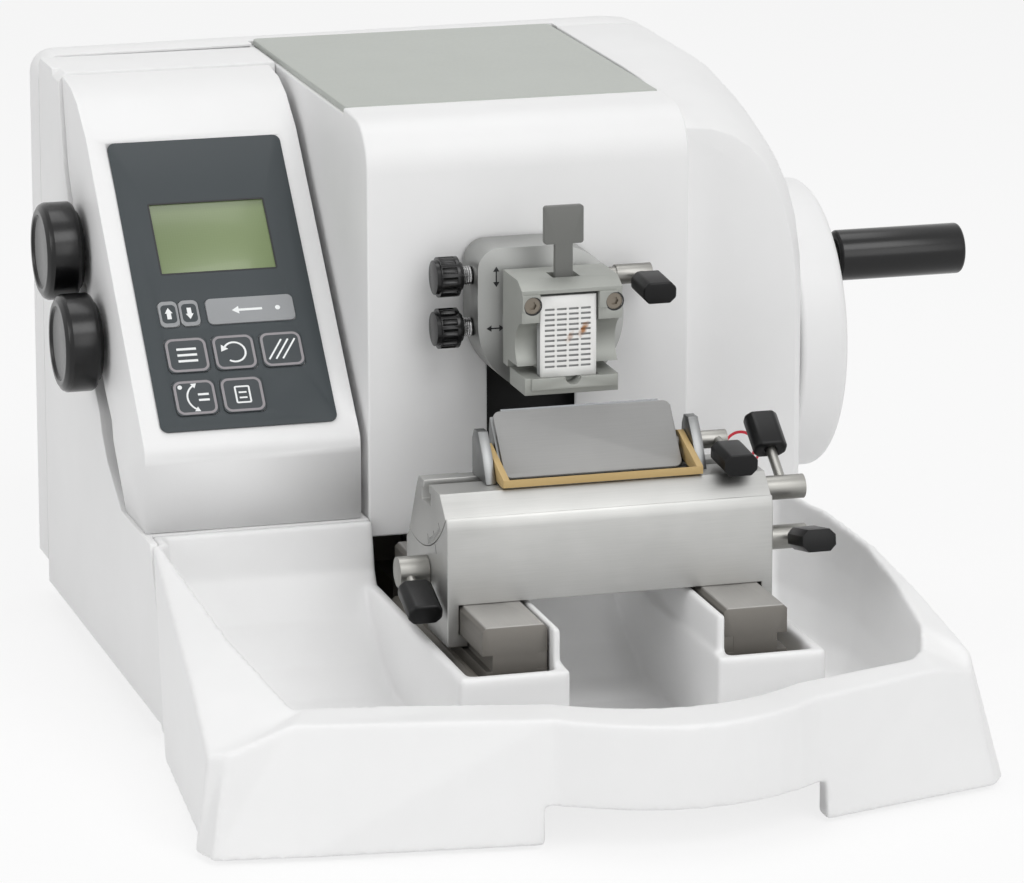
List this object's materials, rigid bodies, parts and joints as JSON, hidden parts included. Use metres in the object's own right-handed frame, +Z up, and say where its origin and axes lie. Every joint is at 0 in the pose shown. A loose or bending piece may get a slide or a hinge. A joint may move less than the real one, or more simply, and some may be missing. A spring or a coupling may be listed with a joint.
{
  "type": "rotary microtome",
  "caption": "Bench microtome with side handwheel, cassette clamp on a vertical slide, knife holder on rails, control console and section tray.",
  "frame": {"origin": "on the bench under the middle of the whole machine, handwheel grip included", "axes": "+X to the handwheel, -Y to the person who cuts, +Z up"},
  "size_m": [0.4859, 0.524, 0.3],
  "materials": {
    "cast_grey": "grey enamel over cast iron",
    "foot_rubber": "black rubber",
    "ground_steel": "ground steel",
    "white_shell": "white, fine texture",
    "panel_film": "dark grey film",
    "display": "olive green display",
    "key_film": "grey film with light outline",
    "black_plastic": "black",
    "plate_grey": "light grey satin",
    "satin_metal": "satin anodised",
    "motor_black": "black",
    "shield_black": "black",
    "cassette_white": "white",
    "blade_steel": "polished steel",
    "guard_tan": "tan"
  },
  "bodies": {
    "frame": {"base_plate": "cast_grey", "rubber_feet": "foot_rubber", "guide_rails": "ground_steel", "section_tray": "white_shell", "left_housing": "white_shell", "console_housing": "white_shell", "keypad_panel": "panel_film", "display_window": "display", "front_cover": "white_shell", "top_plate": "plate_grey", "right_housing": "white_shell", "rear_cover": "white_shell", "power_inlet": "black_plastic", "upright_frame": "cast_grey", "vertical_shafts": "ground_steel", "shaft_bearings": "ground_steel"},
    "wheel": {"main_shaft": "ground_steel", "crank_disc": "cast_grey", "handwheel": "white_shell", "grip_axle": "ground_steel"},
    "grip": {"hand_grip": "black_plastic"},
    "slide": {"carriage": "ground_steel", "slot_shield": "shield_black", "feed_motor": "motor_black"},
    "arm": {"feed_cylinder": "ground_steel", "head_base": "satin_metal"},
    "ball": {"ball_joint": "ground_steel"},
    "clamp": {"clamp_body": "satin_metal", "cassette": "cassette_white"},
    "jaw": {"lower_jaw": "satin_metal"},
    "thumb_lever": {"cassette_lever": "plate_grey"},
    "tilt_screw": {"tilt_knob": "black_plastic"},
    "pan_screw": {"pan_knob": "black_plastic"},
    "orientation_clamp": {"orientation_lever": "ground_steel", "orientation_handle": "black_plastic"},
    "knife_slide": {"knife_base": "satin_metal"},
    "base_clamp": {"base_lever": "ground_steel", "base_handle": "black_plastic"},
    "segment": {"segment_block": "satin_metal"},
    "segment_clamp": {"segment_lever": "ground_steel", "segment_handle": "black_plastic"},
    "holder": {"blade_holder": "satin_metal", "blade": "blade_steel"},
    "lateral_clamp": {"lateral_lever": "ground_steel", "lateral_handle": "black_plastic"},
    "plate": {"pressure_plate": "plate_grey"},
    "blade_clamp": {"blade_lever": "ground_steel", "blade_handle": "black_plastic"},
    "guard": {"knife_guard": "guard_tan"},
    "upper_side_knob": {"upper_knob": "black_plastic"},
    "lower_side_knob": {"lower_knob": "black_plastic"},
    "mains_switch": {"power_switch": "black_plastic"},
    "key_up_cap": {"key_up": "key_film"},
    "key_down_cap": {"key_down": "key_film"},
    "key_retraction_cap": {"key_retraction": "key_film"},
    "key_menu_cap": {"key_menu": "key_film"},
    "key_cycle_cap": {"key_cycle": "key_film"},
    "key_trim_cap": {"key_trim": "key_film"},
    "key_rock_cap": {"key_rock": "key_film"},
    "key_memo_cap": {"key_memo": "key_film"}
  },
  "joints": [
    {"name": "handwheel_turn", "type": "hinge", "parent": "frame", "child": "wheel", "pos_m": [0.158, 0.14, 0.152], "axis": [1, 0, 0], "continuous": true},
    {"name": "grip_spin", "type": "hinge", "parent": "wheel", "child": "grip", "pos_m": [0.206, 0.09908, 0.19588], "axis": [1, 0, 0], "continuous": true},
    {"name": "vertical_stroke", "type": "slide", "parent": "frame", "child": "slide", "axis": [0, 0, -1], "range_m": [0, 0.064]},
    {"name": "specimen_feed", "type": "slide", "parent": "slide", "child": "arm", "axis": [0, -1, 0], "range_m": [0, 0.028]},
    {"name": "head_pan", "type": "hinge", "parent": "arm", "child": "ball", "pos_m": [-0.019, -0.026, 0.203], "axis": [0, 0, 1], "range_deg": [-8, 8]},
    {"name": "head_tilt", "type": "hinge", "parent": "ball", "child": "clamp", "pos_m": [-0.019, -0.026, 0.203], "axis": [1, 0, 0], "range_deg": [-8, 8]},
    {"name": "tilt_knob_turn", "type": "hinge", "parent": "arm", "child": "tilt_screw", "pos_m": [-0.069, -0.017, 0.225], "axis": [1, 0, 0], "range_deg": [-240, 240]},
    {"name": "pan_knob_turn", "type": "hinge", "parent": "arm", "child": "pan_screw", "pos_m": [-0.069, -0.017, 0.199], "axis": [1, 0, 0], "range_deg": [-240, 240]},
    {"name": "orientation_lever_turn", "type": "hinge", "parent": "arm", "child": "orientation_clamp", "pos_m": [0.031, -0.014, 0.22], "axis": [-1, 0, 0], "range_deg": [0, 60]},
    {"name": "thumb_lever_push", "type": "hinge", "parent": "clamp", "child": "thumb_lever", "pos_m": [-0.0212, -0.057, 0.224], "axis": [-1, 0, 0], "range_deg": [0, 12], "stiffness_Nm_per_rad": 0.6},
    {"name": "jaw_open", "type": "slide", "parent": "clamp", "child": "jaw", "axis": [0, 0, -1], "range_m": [0, 0.0025], "stiffness_N_per_m": 40, "springref_m": -0.011},
    {"name": "knife_base_slide", "type": "slide", "parent": "frame", "child": "knife_slide", "axis": [0, -1, 0], "range_m": [0, 0.04]},
    {"name": "base_lever_turn", "type": "hinge", "parent": "knife_slide", "child": "base_clamp", "pos_m": [-0.113, -0.095, 0.0985], "axis": [-1, 0, 0], "range_deg": [0, 60]},
    {"name": "clearance_angle", "type": "hinge", "parent": "knife_slide", "child": "segment", "pos_m": [-0.019, -0.0795, 0.1725], "axis": [1, 0, 0], "range_deg": [-5, 5]},
    {"name": "segment_lever_turn", "type": "hinge", "parent": "knife_slide", "child": "segment_clamp", "pos_m": [0.077, -0.104, 0.104], "axis": [-1, 0, 0], "range_deg": [0, 40]},
    {"name": "lateral_slide", "type": "slide", "parent": "segment", "child": "holder", "axis": [1, 0, 0], "range_m": [-0.01, 0.01]},
    {"name": "lateral_lever_turn", "type": "hinge", "parent": "segment", "child": "lateral_clamp", "pos_m": [0.079, -0.1, 0.128], "axis": [1, 0, 0], "range_deg": [0, 50]},
    {"name": "blade_lever_turn", "type": "hinge", "parent": "holder", "child": "blade_clamp", "pos_m": [0.048, -0.087, 0.1515], "axis": [-1, 0, 0], "range_deg": [0, 70]},
    {"name": "pressure_plate_open", "type": "hinge", "parent": "holder", "child": "plate", "pos_m": [-0.019, -0.10341, 0.14428], "axis": [1, 0, 0], "range_deg": [0, 12]},
    {"name": "guard_swing", "type": "hinge", "parent": "holder", "child": "guard", "pos_m": [-0.019, -0.087, 0.1515], "axis": [-1, 0, 0], "range_deg": [0, 85]},
    {"name": "upper_knob_turn", "type": "hinge", "parent": "frame", "child": "upper_side_knob", "pos_m": [-0.229, 0.141, 0.2146], "axis": [1, 0, 0], "continuous": true},
    {"name": "lower_knob_turn", "type": "hinge", "parent": "frame", "child": "lower_side_knob", "pos_m": [-0.229, 0.099, 0.176], "axis": [1, 0, 0], "continuous": true},
    {"name": "mains_switch_rock", "type": "hinge", "parent": "frame", "child": "mains_switch", "pos_m": [-0.137, 0.2545, 0.078], "axis": [1, 0, 0], "range_deg": [0, 12]},
    {"name": "key_up_press", "type": "slide", "parent": "frame", "child": "key_up_cap", "axis": [0, 0.7193, -0.6947], "range_m": [0, 0.0004], "stiffness_N_per_m": 900},
    {"name": "key_down_press", "type": "slide", "parent": "frame", "child": "key_down_cap", "axis": [0, 0.7193, -0.6947], "range_m": [0, 0.0004], "stiffness_N_per_m": 900},
    {"name": "key_retraction_press", "type": "slide", "parent": "frame", "child": "key_retraction_cap", "axis": [0, 0.7193, -0.6947], "range_m": [0, 0.0004], "stiffness_N_per_m": 900},
    {"name": "key_menu_press", "type": "slide", "parent": "frame", "child": "key_menu_cap", "axis": [0, 0.7193, -0.6947], "range_m": [0, 0.0004], "stiffness_N_per_m": 900},
    {"name": "key_cycle_press", "type": "slide", "parent": "frame", "child": "key_cycle_cap", "axis": [0, 0.7193, -0.6947], "range_m": [0, 0.0004], "stiffness_N_per_m": 900},
    {"name": "key_trim_press", "type": "slide", "parent": "frame", "child": "key_trim_cap", "axis": [0, 0.7193, -0.6947], "range_m": [0, 0.0004], "stiffness_N_per_m": 900},
    {"name": "key_rock_press", "type": "slide", "parent": "frame", "child": "key_rock_cap", "axis": [0, 0.7193, -0.6947], "range_m": [0, 0.0004], "stiffness_N_per_m": 900},
    {"name": "key_memo_press", "type": "slide", "parent": "frame", "child": "key_memo_cap", "axis": [0, 0.7193, -0.6947], "range_m": [0, 0.0004], "stiffness_N_per_m": 900}
  ],
  "couplings": [
    {"joint": "tilt_knob_turn", "follows": "head_tilt", "ratio": 30},
    {"joint": "pan_knob_turn", "follows": "head_pan", "ratio": 30},
    {"joint": "jaw_open", "follows": "thumb_lever_push", "m_per_rad": 0.0119},
    {"joint": "pressure_plate_open", "follows": "blade_lever_turn", "ratio": 0.17}
  ]
}
